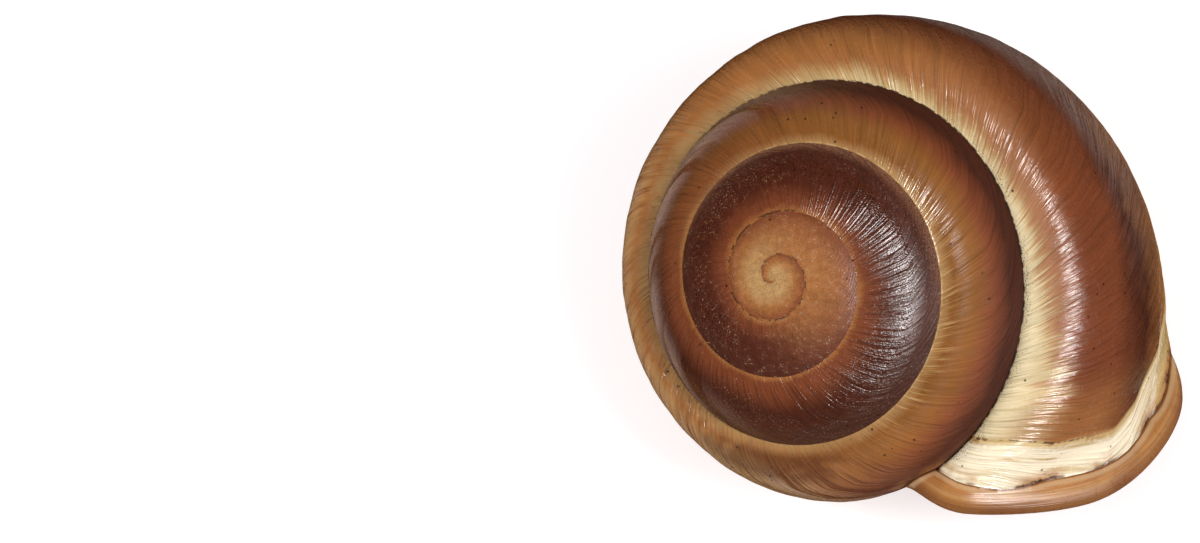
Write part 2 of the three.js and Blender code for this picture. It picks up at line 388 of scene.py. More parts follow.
def relief(age, part, along, across, shell):
    """Height of the ridges, of the groove and flare behind the lip and of the break, in millimetres."""
    ripple = along + RIPPLE_REACH * wander(across, RIPPLE_SPACING, shell.seed)
    ridges = sum(size * wander(ripple, gap, shell.seed + i) for i, (size, gap) in enumerate(RIDGE_SETS, 1))
    height = shell.ridge * ridges * np.interp(age, RIDGE_AGES, RIDGE_SIZES)
    height -= shell.groove * dip(age, GROOVE_AGE, GROOVE_WIDTH)
    height += shell.flare * (1 - smooth(*FLARE_AGES, age)) * hill(part, *FLARE_PARTS)
    height -= BREAK_DEPTH * dip(age, BREAK_AGE, BREAK_WIDTH) * hill(part, *BREAK_PARTS)
    return height


def skin_faces(index):
    """Triangles of the coil and of the web over its mouth, with the row and column of each corner."""
    last_row, columns = index.shape[0] - 1, index.shape[1]
    corners = []
    places = []
    for first, last, width in ((0, SEAM_ROWS, columns), (SEAM_ROWS, last_row, CROWN_STEPS + 1)):
        here = index[first:last, :width]
        ahead = index[first + 1:last + 1, :width]
        quads = np.stack([here[:, :-1], here[:, 1:], ahead[:, 1:], ahead[:, :-1]], -1)
        row, column = (values.reshape(-1) for values in np.indices(quads.shape[:2]))
        row = row + first
        corners.append(quads.reshape(-1, 4))
        places.append(np.stack([
            np.stack([row, row, row + 1, row + 1], 1), np.stack([column, column + 1, column + 1, column], 1)
        ], -1))
    corners = np.concatenate(corners)
    places = np.concatenate(places)

    edge = index[0]
    parietal = index[SEAM_ROWS, CROWN_STEPS:]
    axis = index[:SEAM_ROWS + 1, -1]
    rim = np.concatenate([edge[FAN_COLUMN + 1:], axis[1:]])
    web = [(edge[FAN_COLUMN], rim[i + 1], rim[i]) for i in range(len(rim) - 1)]
    spans = len(parietal) - 1
    for i in range(spans):
        j = round(i * FAN_COLUMN / spans)
        k = round((i + 1) * FAN_COLUMN / spans)
        web += [(edge[m], parietal[i], edge[m + 1]) for m in range(j, k)]
        web.append((edge[k], parietal[i], parietal[i + 1]))
    web = np.array(web)

    halves = ((0, 1, 2), (0, 2, 3))
    faces = np.concatenate([corners[:, half] for half in halves] + [web])
    web_places = np.stack([web // columns, web % columns], -1)
    places = np.concatenate([places[:, half] for half in halves] + [web_places])
    whole = (faces[:, 0] != faces[:, 1]) & (faces[:, 1] != faces[:, 2]) & (faces[:, 2] != faces[:, 0])
    return faces[whole], places[whole]


def skin_mesh(shell):
    """The closed skin of the coil, row by row from the mouth to the apex."""
    apex_row = WHORL_TURNS * ROWS_PER_TURN
    rows = apex_row + SEAM_ROWS + 1
    base_parts = np.linspace(1, AXIS_PART, BASE_STEPS + 1)[1:]
    parts = np.concatenate([np.linspace(0, 1, CROWN_STEPS + 1), base_parts])
    columns = len(parts)
    age = np.arange(rows)[:, None] / ROWS_PER_TURN
    part = np.broadcast_to(parts, (rows, columns))
    turns = growth_turns(age, part)
    points = place(turns, *section(turns, part))

    circle = 2 * math.pi * meeting_line(age[:, 0] - 1)[0]
    run = np.concatenate([[0], np.cumsum(circle[1:] / ROWS_PER_TURN)])
    along = np.broadcast_to(run[:, None], (rows, columns))
    steps = np.linalg.norm(np.diff(points, axis=1), axis=-1)
    across = np.concatenate([np.zeros((rows, 1)), np.cumsum(steps, axis=1)], axis=1)
    normals = np.cross(np.gradient(points, axis=1), np.gradient(points, axis=0))
    normals /= np.maximum(np.linalg.norm(normals, axis=-1, keepdims=True), TINY)
    covered = age > SEAM_ROWS / ROWS_PER_TURN - SEAM_LEAD
    fade = smooth(*SUTURE_FADE, part) * (1 - smooth(*SEAM_FADE, part) * covered)
    fade = fade * (1 - smooth(*BASE_FADE, part)) * (1 - smooth(*APEX_FADE, age))
    height = relief(age, part, along, across, shell) * fade
    points = points + normals * height[..., None]

    lean = np.interp(part, LINE_LEAN_PARTS, LINE_LEAN_TURNS) - np.interp(part, STREAK_PARTS, STREAK_TURNS)
    lean = blend(-np.interp(part, OLD_EDGE_PARTS, OLD_EDGE_TURNS), lean, smooth(*OLD_EDGE_FADE, age))
    along = along + lean * circle[:, None]

    index = np.arange(rows * columns).reshape(rows, columns)
    index[apex_row:, 0] = index[apex_row, 0]
    index[SEAM_ROWS:, CROWN_STEPS] = index[:rows - SEAM_ROWS, 0]
    index[-1, :CROWN_STEPS + 1] = index[apex_row, 0]
    faces, places = skin_faces(index)
    row, column = places[..., 0], places[..., 1]
    nothing = np.zeros(row.shape)
    whorl = np.stack([age[row, 0], part[row, column], nothing], -1)
    grain = np.stack([along[row, column], across[row, column], nothing], -1)
    return points.reshape(-1, 3), faces, whorl, grain


def ring_faces(rows, points, closed):
    """Triangles between rows of rings, joined end to end where the tube is closed."""
    index = np.arange(rows * points).reshape(rows, points)
    around = np.roll(index, -1, axis=1)
    if closed:
        ahead, ahead_around = np.roll(index, -1, axis=0), np.roll(around, -1, axis=0)
    else:
        ahead, ahead_around = index[1:], around[1:]
        index, around = index[:-1], around[:-1]
    a, b, c, d = (x.reshape(-1) for x in (index, around, ahead_around, ahead))
    return np.concatenate([np.stack([a, b, c], 1), np.stack([a, c, d], 1)])


def hollow_mesh(shell):
    """The hollow of the tube, from deep inside out through the mouth."""
    first = -round(HOLLOW_OVERRUN * HOLLOW_ROWS_PER_TURN)
    rows = np.arange(first, round(HOLLOW_TURNS * HOLLOW_ROWS_PER_TURN) + 1)[:, None] / HOLLOW_ROWS_PER_TURN
    part = np.linspace(*HOLLOW_PARTS, HOLLOW_STEPS + 1)[None, :]
    at = rows * np.where(rows < 0, part / HOLLOW_PARTS[1], 1) + HOLLOW_LEAN * part
    part = part + 0 * at
    skin = np.stack(section(at, part), -1)
    before = np.stack(section(at + 1, 1 + part * (AXIS_PART - 1) / AXIS_PART), -1)
    gap = np.maximum(np.linalg.norm(skin - before, axis=-1), LEAST_GAP)[..., None]
    outside = blend(skin, before, shell.wall / gap)
    inside = blend(before, skin, BACK_WALL / gap)
    ring = np.concatenate([outside, inside[:, ::-1]], axis=1)
    ring_turns = np.concatenate([at, at[:, ::-1]], axis=1)
    points = place(ring_turns, ring[..., 0], ring[..., 1])
    count, width = ring_turns.shape
    caps = []
    for row, flip in ((0, False), (count - 1, True)):
        ends = np.arange(width) + row * width
        for i in range(HOLLOW_STEPS):
            a, b, c, d = ends[i], ends[i + 1], ends[-2 - i], ends[-1 - i]
            caps += [(a, c, b), (a, d, c)] if flip else [(a, b, c), (a, c, d)]
    faces = np.concatenate([ring_faces(count, width, False)[:, ::-1], np.array(caps)])
    depth = np.broadcast_to(rows, (count, width))
    station = np.broadcast_to(np.linspace(0, 1, width), (count, width))
    nothing = np.zeros((count, width))
    whorl = np.stack([depth, station, nothing], -1).reshape(-1, 3)
    grain = np.stack([depth * HOLLOW_RUN, station * HOLLOW_GIRTH, nothing], -1).reshape(-1, 3)
    return points.reshape(-1, 3), faces, whorl[faces], grain[faces]


def around_lip(stations, at):
    """A smooth closed curve through the lip's stations."""
    count = len(stations)
    i = np.floor(at * count).astype(int)
    x = (at * count - i)[:, None]
    before, here, after, beyond = (stations[(i + k) % count] for k in (-1, 0, 1, 2))
    return curve(x, here, after, (after - before) / 2, (beyond - here) / 2)


def lip_mesh(shell):
    """The thickened lip, a flattened tube round the mouth."""
    at = np.arange(LIP_ROWS) / LIP_ROWS
    outer = around_lip(LIP_OUTER, at)
    inner = around_lip(LIP_INNER, at)
    middle = (outer + inner) / 2
    half = (outer - inner) / 2
    facing = LIP_FACING / np.linalg.norm(LIP_FACING)
    angle = np.arange(LIP_POINTS) / LIP_POINTS * 2 * math.pi
    points = (
        middle[:, None] + half[:, None] * np.cos(angle)[None, :, None]
        + facing * shell.lip * np.sin(angle)[None, :, None]
    )
    faces = ring_faces(LIP_ROWS, LIP_POINTS, True)
    run = np.concatenate([[0], np.cumsum(np.linalg.norm(np.diff(middle, axis=0), axis=-1))])
    run, station, front, out = (np.broadcast_to(values, (LIP_ROWS, LIP_POINTS)) for values in (
        run[:, None], at[:, None], np.sin(angle), np.cos(angle)))
    whorl = np.stack([station, front, out], -1).reshape(-1, 3)
    grain = np.stack([run, out * LIP_HALF_BREADTH, front * LIP_HALF_BREADTH], -1).reshape(-1, 3)
    return points.reshape(-1, 3), faces, whorl[faces], grain[faces]


def solid(name, parts, material):
    """Makes an object of a closed mesh, with its growth marks on the corners."""
    points, faces, whorl, grain = parts
    used, faces = np.unique(faces, return_inverse=True)
    points = points[used]
    faces = faces.reshape(-1, 3)
    inside = points.mean(axis=0)
    a, b, c = (points[faces[:, i]] - inside for i in range(3))
    if np.einsum("ij,ij->", a, np.cross(b, c)) < 0:
        faces = faces[:, ::-1]
        whorl = whorl[:, ::-1]
        grain = grain[:, ::-1]
    mesh = bpy.data.meshes.new(name)
    mesh.from_pydata((points * MM).tolist(), [], faces.tolist())
    for label, values in (("whorl", whorl), ("grain", grain)):
        marks = mesh.attributes.new(label, "FLOAT_VECTOR", "CORNER")
        marks.data.foreach_set("vector", np.ascontiguousarray(values, dtype=np.float32).reshape(-1))
    mesh.materials.append(material)
    obj = bpy.data.objects.new(name, mesh)
    bpy.context.scene.collection.objects.link(obj)
    return obj


def mark_seam(mesh):
    """Marks each point with its distance from the seam between the lip and the skin, in millimetres."""
    sides = {material.name: set() for material in mesh.materials}
    points_of = list(sides.values())
    for face in mesh.polygons:
        points_of[face.material_index].update(face.vertices)
    seam = sides[SKIN_NAME] & sides[CALLUS_NAME]
    tree = KDTree(len(seam))
    for i in seam:
        tree.insert(mesh.vertices[i].co, i)
    tree.balance()
    distances = [tree.find(vertex.co)[2] / MM for vertex in mesh.vertices]
    mesh.attributes.new("seam", "FLOAT", "POINT").data.foreach_set("value", distances)


def lay_down(mesh):
    """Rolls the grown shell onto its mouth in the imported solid's place, and returns how far it was moved."""
    points = np.empty(len(mesh.vertices) * 3)
    mesh.vertices.foreach_get("co", points)
    points = points.reshape(-1, 3) @ REST_TURN.T
    low, high = points.min(axis=0), points.max(axis=0)
    shift = (np.array(CAD_LOW) + np.array(CAD_HIGH) - low - high) / 2
    shift[2] = CAD_HIGH[2] - high[2]
    points = points + shift
    points[:, 2] = np.maximum(points[:, 2], 0)
    mesh.vertices.foreach_set("co", points.reshape(-1))
    mesh.update()
    return shift.tolist()


def add(tree, kind, inputs=None, output=0, stops=None, **settings):
    """Adds one node with its settings, values, links and ramp stops, and returns one of its outputs."""
    node = tree.nodes.new(kind)
    for name, value in settings.items():
        setattr(node, name, value)
    for key, value in (inputs or {}).items():
        if isinstance(value, bpy.types.NodeSocket):
            tree.links.new(value, node.inputs[key])
        else:
            node.inputs[key].default_value = value
    if stops:
        ramp = node.color_ramp.elements
        while len(ramp) < len(stops):
            ramp.new(0.5)
        for element, (position, shade) in zip(ramp, stops):
            element.position = position
            element.color = (shade, shade, shade, 1) if isinstance(shade, (int, float)) else shade
    return node.outputs[output]


def share(tree, strength, *limits):
    """A share that has its strength where all limits hold, each rising from its first value to its second."""
    for value, start, end in limits:
        rise = add(tree, "ShaderNodeMapRange", {"Value": value, "From Min": start, "From Max": end},
                   interpolation_type="SMOOTHSTEP")
        strength = add(tree, "ShaderNodeMath", {0: rise, 1: strength}, operation="MULTIPLY")
    return strength


def paint(tree, under, *coats):
    """Lays coats over a colour, each a shade with its strength and the limits that it keeps to."""
    for shade, strength, *limits in coats:
        cover = share(tree, strength, *limits)
        under = add(tree, "ShaderNodeMix", {0: cover, 6: under, 7: shade}, 2, data_type="RGBA")
    return under


def weigh(tree, start, *terms):
    """Adds weighted sockets to a starting number."""
    for socket, weight in terms:
        start = add(tree, "ShaderNodeMath", {0: socket, 1: weight, 2: start}, operation="MULTIPLY_ADD")
    return start


def surface_marks(tree, channels, patterns):
    """Channels of growth, the distance from the seam and patterns, as sockets by name."""
    whorl = add(tree, "ShaderNodeAttribute", output="Vector", attribute_name="whorl")
    grain = add(tree, "ShaderNodeAttribute", output="Vector", attribute_name="grain")
    spot = add(tree, "ShaderNodeTexCoord", output="Object")
    marks = {name: add(tree, "ShaderNodeSeparateXYZ", {0: whorl}, i) for i, name in enumerate(channels)}
    marks["seam"] = add(tree, "ShaderNodeAttribute", output="Fac", attribute_name="seam")
    for name, size, detail in patterns:
        along_growth = isinstance(size, tuple)
        scale = tuple(1 / step for step in size) if along_growth else (1 / (size * MM),) * 3
        vector = add(tree, "ShaderNodeMapping", {"Vector": grain if along_growth else spot, "Scale": scale})
        inputs = {"Vector": vector, "Scale": 1}
        if detail is None:
            marks[name] = add(tree, "ShaderNodeTexVoronoi", inputs, "Distance")
        else:
            marks[name] = add(tree, "ShaderNodeTexNoise", {**inputs, "Detail": detail}, "Fac")
    return marks


def make_finish(name, channels, patterns, looks, shell):
    """Makes a material from its marks, through the function that turns them into a surface."""
    material = bpy.data.materials.new(name)
    material.use_nodes = True
    tree = material.node_tree
    tree.nodes.clear()
    surface = looks(tree, shell, surface_marks(tree, channels, patterns))
    output = tree.nodes.new("ShaderNodeOutputMaterial")
    tree.links.new(add(tree, "ShaderNodeBsdfPrincipled", surface), output.inputs["Surface"])
    return material


def whorl_ground(tree, shell, age, wavy):
    """Ground colours from the suture to the axis, one row of them after another with age."""
    third = add(tree, "ShaderNodeMath", {0: wavy, 1: AXIS_PART}, operation="DIVIDE")
    base = None
    for start, end, stops in (
        # Last whorl by the mouth: rosy brown, a dark flank and a golden base.
        (0, 0, (
            (0, shell.rosy), (0.09, shell.rosy), (0.17, shell.chestnut), (0.26, shell.chestnut),
            (0.31, shell.umber), (0.36, shell.sienna), (0.42, shell.gold), (1, shell.straw),
        )),
        # Its far side: warm brown with a worn flank.
        (0.16, 0.4, (
            (0, shell.tan), (0.06, shell.sienna), (0.15, shell.sienna), (0.28, shell.chestnut),
            (0.34, shell.rosy), (0.37, shell.tan), (0.41, shell.chestnut), (0.48, shell.gold),
            (1, shell.straw),
        )),
        # The whorl before the last: ochre, darker outwards.
        (0.85, 1.05, (
            (0, shell.tan), (0.05, shell.ochre), (0.13, shell.ochre), (0.2, shell.chestnut),
            (0.27, shell.umber), (0.33, shell.umber), (1, shell.gold),
        )),
        # Its far side, almost all dark.
        (1.3, 1.75, (
            (0, shell.sienna), (0.02, shell.chestnut), (0.06, shell.chestnut), (0.15, shell.umber),
            (0.33, shell.umber), (1, shell.gold),
        )),
        # The dark ring round the spire.
        (1.95, 2.25, (
            (0, shell.sienna), (0.03, shell.chestnut), (0.11, shell.aubergine), (0.33, shell.aubergine),
            (1, shell.gold),
        )),
        # The spire, and the pale apex.
        (2.85, 3.15, (
            (0, shell.sienna), (0.1, shell.sienna), (0.33, shell.chestnut), (1, shell.gold),
        )),
        (3.3, 3.7, (
            (0, shell.tan), (0.1, shell.tan), (0.2, shell.sienna), (0.33, shell.chestnut), (1, shell.gold),
        )),
    ):
        ramp = add(tree, "ShaderNodeValToRGB", {0: third}, stops=stops)
        base = paint(tree, base, (ramp, 1, (age, start, end))) if base else ramp
    return base


def periostracum(tree, shell, marks):
    """Horny skin over aragonite: growth streaks, a cream band and a soft shine along fine ridges."""
    age, part, seam, cloud, speck, grit, dot = itemgetter(
        "age", "part", "seam", "cloud", "speck", "grit", "dot")(marks)
    thread, rib, line, band, dash = itemgetter("thread", "rib", "line", "band", "dash")(marks)
    wavy = weigh(tree, part, (line, 0.12), (cloud, 0.2))
    wavy = add(tree, "ShaderNodeMath", {0: wavy, 1: 0.16}, operation="SUBTRACT")
    base = whorl_ground(tree, shell, age, wavy)

    # The cream band below the last suture, feathered along the growth lines.
    reach = add(tree, "ShaderNodeMath", {0: age, 1: WHORL_TURNS}, operation="DIVIDE")
    reach = add(tree, "ShaderNodeValToRGB", {0: reach}, stops=CREAM_REACH)
    feather = weigh(tree, wavy, (thread, 0.12), (rib, 0.3))
    beyond = add(tree, "ShaderNodeMath", {0: feather, 1: reach}, operation="SUBTRACT")
    base = paint(
        tree, base,
        (shell.straw, 0.7, (beyond, 0.36, 0.16), (age, 0.8, 0.3)),
        (shell.cream, 0.95, (beyond, 0.28, 0.12), (age, 0.55, 0.22)),
    )

    # Turns behind the old edge of the mouth, a little ragged.
    down = add(tree, "ShaderNodeMath", {0: part, 1: AXIS_PART}, operation="DIVIDE")
    old_edge = add(tree, "ShaderNodeValToRGB", {0: down}, stops=tuple(
        (at / AXIS_PART, turns) for at, turns in zip(OLD_EDGE_PARTS, OLD_EDGE_TURNS)))
    behind = add(tree, "ShaderNodeMath", {0: age, 1: old_edge}, operation="SUBTRACT")
    behind = weigh(tree, behind, (cloud, 0.004), (thread, 0.002))
    base = paint(
        tree, base,
        # Warmer skin behind the old edge, then the pale growth between it and the lip.
        (shell.sienna, 0.8, (behind, 0.055, 0.015), (part, 0.1, 0.4), (part, 0.95, 0.7)),
        (shell.straw, 0.95, (behind, 0.005, 0.001), (part, 1.4, 1.1)),
        (shell.ivory, 0.95, (behind, 0.001, -0.004), (line, 0.3, 0.46), (part, 1.1, 0.9)),
        # Rusty stain along the old edge, and the crack itself.
        (shell.sienna, 0.6, (behind, -0.006, 0.001), (behind, 0.012, 0.004), (cloud, 0.46, 0.56),
         (speck, 0.4, 0.55), (part, 0.9, 0.7)),
        (shell.umber, 0.9, (behind, 0.001, 0.0022), (behind, 0.0036, 0.0026), (speck, 0.42, 0.5),
         (part, 0.8, 0.6)),
        # Stains and grains along the seam behind the lip.
        (shell.lip_colour, 0.75, (seam, 1.6, 0.3), (cloud, 0.38, 0.52), (part, 1.6, 1.3)),
        (shell.chestnut, 0.7, (seam, 1.3, 0.4), (cloud, 0.5, 0.62), (speck, 0.4, 0.56), (part, 1.6, 1.3)),
        (shell.umber, 0.85, (seam, 0.35, 0.1), (cloud, 0.36, 0.48), (part, 1.6, 1.3)),
        (shell.night, 0.8, (seam, 0.5, 0.2), (speck, 0.54, 0.62), (cloud, 0.46, 0.54), (part, 1.6, 1.3)),
        # A painted highlight of pale threads by the suture of the whorl before the last, and its pale edge
        # there.
        (shell.straw, 0.5, (thread, 0.5, 0.68), (part, 0.34, 0.05), (age, 0.98, 1.06), (age, 1.3, 1.15)),
        (shell.straw, 0.6, (part, 0.03, 0.008), (age, 1.0, 1.1), (age, 1.6, 1.35), (speck, 0.42, 0.55)),
        # Dark ribs on the last whorl's far side and on the spire, and pale ones by the mouth.
        (shell.umber, 0.6, (rib, 0.5, 0.62), (age, 0.5, 0.65), (age, 1.0, 0.95), (part, 0.2, 0.5)),
        (shell.umber, 0.7, (rib, 0.5, 0.6), (age, 1.6, 1.9), (age, 2.5, 2.3), (part, 0.05, 0.2)),
        (shell.straw, 0.4, (rib, 0.5, 0.38), (age, 0.15, 0.1), (part, 0.6, 0.25)),
        # Callus on the wall inside the mouth, and its stains.
        (shell.sienna, 0.9, (age, 0.86, 0.9), (part, 0.98, 1.04)),
        (shell.umber, 0.7, (age, 0.86, 0.9), (part, 0.98, 1.04), (cloud, 0.46, 0.6)),
        # Short dark dashes on the last whorl's far side.
        (shell.umber, 0.35, (dash, 0.62, 0.7), (cloud, 0.42, 0.52), (age, 0.4, 0.5), (age, 0.95, 0.8)),
        # Greyish painted sheen, a painted reflection on the flanks, and a rosy edge on the dark ring.
        (shell.painted_sheen, 0.8, (part, 0.35, 0.75), (age, 1.35, 1.55), (age, 1.85, 1.65), (band, 0.35, 0.5)),
        (shell.rosy, 0.55, (part, 0.8, 0.98), (age, 2.05, 2.2), (age, 2.6, 2.45)),
        (shell.painted_sheen, 0.7, (part, 0.78, 0.97), (part, 1.15, 1.02), (age, 0.08, 0.25), (age, 0.7, 0.55),
         (thread, 0.38, 0.56)),
        (shell.painted_sheen, 0.55, (part, 0.84, 0.97), (part, 1.2, 1.05), (age, 0.2, 0.3), (age, 0.6, 0.5)),
        # Paler fawn and tan on the last whorl's far side.
        (shell.fawn, 0.8, (age, 0.5, 0.62), (age, 0.93, 0.85), (part, 0.2, 0.5), (part, 1.2, 1),
         (rib, 0.6, 0.44)),
        (shell.tan, 0.7, (age, 0.5, 0.62), (age, 0.92, 0.85), (part, 0.12, 0.3), (line, 0.36, 0.52)),
        # A dark stain below the suture, where the last whorl begins.
        (shell.umber, 0.65, (age, 0.78, 0.84), (age, 0.98, 0.93), (part, 0.05, 0.2), (part, 0.6, 0.4),
         (cloud, 0.4, 0.52)),
        # Dark and pale grit on the spire; the pale specks are partly painted glints.
        (shell.night, 0.7, (age, 1.9, 2.15), (age, 3.0, 2.7), (grit, 0.5, 0.62), (wavy, 0.2, 0.5)),
        (shell.painted_sheen, 0.5, (age, 1.3, 2.0), (grit, 0.36, 0.3), (cloud, 0.46, 0.56)),
        (shell.straw, 0.4, (age, 1.0, 2.2), (grit, 0.28, 0.24), (cloud, 0.4, 0.5)),
        (shell.straw, 0.7, (age, 2.3, 2.5), (age, 2.95, 2.75), (part, 0.1, 0.5), (grit, 0.36, 0.3),
         (speck, 0.5, 0.58)),
        # Black grains in the sutures, and a few dots all over.
        (shell.night, 0.9, (part, 0.96, 0.99), (age, 0.86, 0.93), (age, 1.4, 1.15), (grit, 0.42, 0.54)),
        (shell.night, 0.9, (part, 0.016, 0.006), (speck, 0.42, 0.52), (age, 0.7, 0.4)),
        (shell.night, 0.8, (part, 0.04, 0.012), (speck, 0.48, 0.56), (age, 2.1, 2.5)),
        (shell.night, 0.9, (part, 0.14, 0.02), (grit, 0.6, 0.64), (cloud, 0.45, 0.55), (age, 0.4, 0.25)),
        (shell.night, 0.85, (dot, 0.1, 0.06), (cloud, 0.44, 0.52)),
        # Worn places on the base and the apex.
        (shell.cream, 0.35, (part, 1.3, 1.6), (cloud, 0.54, 0.7), (speck, 0.3, 0.5), (age, 0.86, 0.8)),
        (shell.cream, 0.35, (age, 2.7, 3), (speck, 0.5, 0.62), (grit, 0.4, 0.3)),
        (shell.cream, 0.9, (part, 1.9, 2.2), (dot, 0.2, 0.12), (cloud, 0.4, 0.5), (age, 0.86, 0.8)),
    )

    # Light and dark growth lines, fainter on the spire, where grains take over.
    fresh = add(tree, "ShaderNodeMapRange", {
        "Value": age, "From Min": 2.5, "From Max": 3.1, "To Min": 1, "To Max": 0.35})
    lines = weigh(tree, -0.62, (thread, 0.4), (rib, 0.44), (line, 0.4))
    lines = add(tree, "ShaderNodeMath", {0: lines, 1: fresh}, operation="MULTIPLY")
    grains = weigh(tree, -0.5, (grit, 0.7), (speck, 0.3))
    old = share(tree, 1, (age, 1.8, 2.8))
    grains = add(tree, "ShaderNodeMath", {0: grains, 1: old}, operation="MULTIPLY")
    value = weigh(tree, 0.8, (lines, 1), (band, 0.4), (grains, 1.6))
    base = add(tree, "ShaderNodeHueSaturation", {"Color": base, "Value": value})

    # Threads a third of a millimetre apart, and granules on the older whorls, both drawn coarse to show.
    rugged = add(tree, "ShaderNodeMapRange", {
        "Value": age, "From Min": 1.3, "From Max": 2.1, "To Min": 0.15, "To Max": 0.3})
    granules = add(tree, "ShaderNodeMath", {0: grit, 1: rugged}, operation="MULTIPLY")
    ridges = weigh(tree, 0, (thread, 0.9), (rib, 1.2), (line, 0.6))
    ridges = add(tree, "ShaderNodeMath", {0: ridges, 1: fresh}, operation="MULTIPLY")
    height = weigh(tree, granules, (ridges, 1), (speck, 0.3))
    normal = add(tree, "ShaderNodeBump", {"Height": height, "Strength": 1, "Distance": SKIN_BUMP})

    # The varnish is worn off the whorl before the last, the far flank of the spire and the apex.
    dull = share(tree, 1, (age, 0.88, 0.98), (age, 1.45, 1.3), (part, 0.15, 0.4))
    grainy = share(tree, 0.8, (age, 1.75, 1.95), (age, 2.9, 2.7), (part, 0.6, 0.82))
    worn = share(tree, 0.6, (age, 2.7, 3))
    matt = weigh(tree, dull, (grainy, 1), (worn, 1))
    return {
        "Base Color": base, "Roughness": weigh(tree, 0.13, (speck, 0.22), (matt, 0.4)), "IOR": SKIN_IOR,
        "Specular IOR Level": weigh(tree, 0.5, (matt, -0.42)), "Normal": normal,
        "Coat Weight": weigh(tree, 0.3, (matt, -0.3)), "Coat Roughness": VARNISH_ROUGHNESS,
        "Coat IOR": VARNISH_IOR, "Coat Normal": normal,
    }


def callus(tree, shell, marks):
    """Porcelain callus, laid in thin coats round the mouth: fine lines along the lip under a soft gloss."""
    station, front, out, seam, coat, streak, cloud, speck, dot = itemgetter(
        "station", "front", "out", "seam", "coat", "streak", "cloud", "speck", "dot")(marks)
    ring = weigh(tree, -0.06, (out, 1), (cloud, 0.12))
    base = paint(
        tree, shell.lip_colour,
        # Brown coats and streaks along the lip, a pale back, and painted shade darkening its outer edge.
        (shell.sienna, 0.7, (coat, 0.4, 0.64)),
        (shell.chestnut, 0.28, (streak, 0.52, 0.66), (front, 0.6, 0.2)),
        (shell.chestnut, 0.35, (cloud, 0.46, 0.66), (front, 0.5, 0.1)),
        (shell.straw, 0.22, (front, -0.55, -0.8), (front, -0.97, -0.85), (streak, 0.4, 0.55)),
        (shell.umber, 0.5, (out, 0.5, 1), (front, 0.6, 0.1)),
        # The seam with the skin: a pale line beside it, a painted highlight along the lip's upper edge, and a
        # dark line at the seam.
        (shell.cream, 0.25, (seam, 0.1, 0.25), (seam, 0.8, 0.4), (front, 0.2, -0.2)),
        (shell.umber, 0.6, (seam, 0.2, 0.05), (front, 0.2, -0.2)),
        # The face of the lip, with pale rings along it and a pale columella.
        (shell.rosy, 0.75, (front, 0.3, 0.8)),
        (shell.cream, 0.6, (front, 0.3, 0.6), (ring, 0.62, 0.66), (ring, 0.74, 0.7), (cloud, 0.34, 0.5)),
        (shell.cream, 0.55, (front, 0.3, 0.6), (ring, 0.3, 0.34), (ring, 0.42, 0.38), (cloud, 0.36, 0.5),
         (station, 0.55, 0.62)),
        (shell.cream, 0.85, (out, -0.6, -0.85), (station, 0.55, 0.62), (station, 0.9, 0.84)),
        # Stains on the inner wall, and a few black dots.
        (shell.umber, 0.5, (cloud, 0.52, 0.64), (station, 0.72, 0.8), (front, 0.2, 0.6)),
        (shell.night, 0.85, (dot, 0.07, 0.04), (cloud, 0.45, 0.55)),
    )
    value = weigh(tree, 0.79, (streak, 0.14), (coat, 0.28))
    base = add(tree, "ShaderNodeHueSaturation", {"Color": base, "Value": value})
    height = weigh(tree, streak, (coat, 1.0))
    normal = add(tree, "ShaderNodeBump", {"Height": height, "Strength": 0.6, "Distance": FINE_BUMP})
    return {
        "Base Color": base, "Roughness": weigh(tree, 0.2, (speck, 0.2)), "IOR": PORCELAIN_IOR,
        "Specular IOR Level": CALLUS_SHINE, "Normal": normal,
    }


def lining(tree, shell, marks):
    """Glazed aragonite inside the tube: growth streaks that show through, dark grains and a wet gloss."""
    depth, station, line, band, cloud, speck, dot = itemgetter(
        "depth", "station", "line", "band", "cloud", "speck", "dot")(marks)
    base = add(tree, "ShaderNodeValToRGB", {0: station}, stops=(
        (0, shell.straw), (0.1, shell.lining), (0.3, shell.ochre), (0.48, shell.lining), (0.53, shell.sienna),
        (0.8, shell.sienna), (1, shell.tan)))
    base = paint(
        tree, base,
        # Dark stains on the inner wall, pale ones on the outer, painted shade darker deeper in the tube, and
        # black grains.
        (shell.umber, 0.5, (cloud, 0.5, 0.66), (station, 0.48, 0.56)),
        (shell.straw, 0.5, (cloud, 0.46, 0.34), (station, 0.5, 0.4)),
        (shell.umber, 0.75, (depth, 0.1, 0.45)),
        (shell.night, 0.85, (dot, 0.11, 0.07), (cloud, 0.44, 0.54)),
    )
    value = weigh(tree, 0.55, (line, 0.5), (band, 0.4))
    base = add(tree, "ShaderNodeHueSaturation", {"Color": base, "Value": value})
    normal = add(tree, "ShaderNodeBump", {"Height": line, "Strength": 0.5, "Distance": FINE_BUMP})
    return {
        "Base Color": base, "Roughness": weigh(tree, 0.12, (speck, 0.2)), "IOR": PORCELAIN_IOR,
        "Normal": normal,
    }


